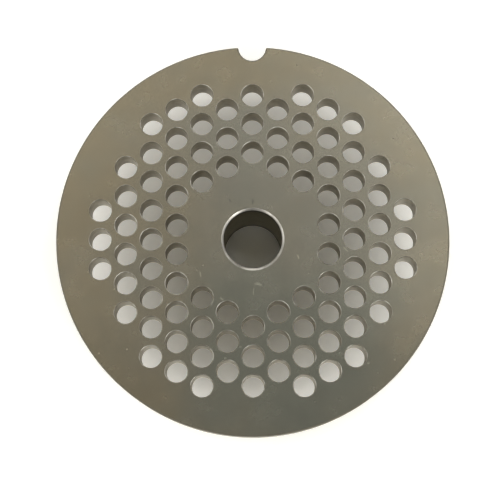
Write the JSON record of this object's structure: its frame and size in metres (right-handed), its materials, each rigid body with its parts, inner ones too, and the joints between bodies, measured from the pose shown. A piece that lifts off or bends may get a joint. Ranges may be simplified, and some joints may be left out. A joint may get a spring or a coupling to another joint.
{
  "type": "meat grinder plate",
  "caption": "Round steel mincer plate with a ring field of round perforations, a central bore, a half-round locating notch in the rim and a short hub on the back.",
  "frame": {"origin": "where the bore's axis meets the hub's end, on which the plate stands", "axes": "+Z along the bore, from the hub's end towards the cutting face; +Y from the bore towards the locating notch in the rim; +X completes the right hand"},
  "size_m": [0.0537, 0.0536, 0.015],
  "materials": {
    "ground_steel": "dull ground tool steel, slightly stained"
  },
  "bodies": {
    "root": {"grinder_plate": "ground_steel"}
  },
  "joints": []
}
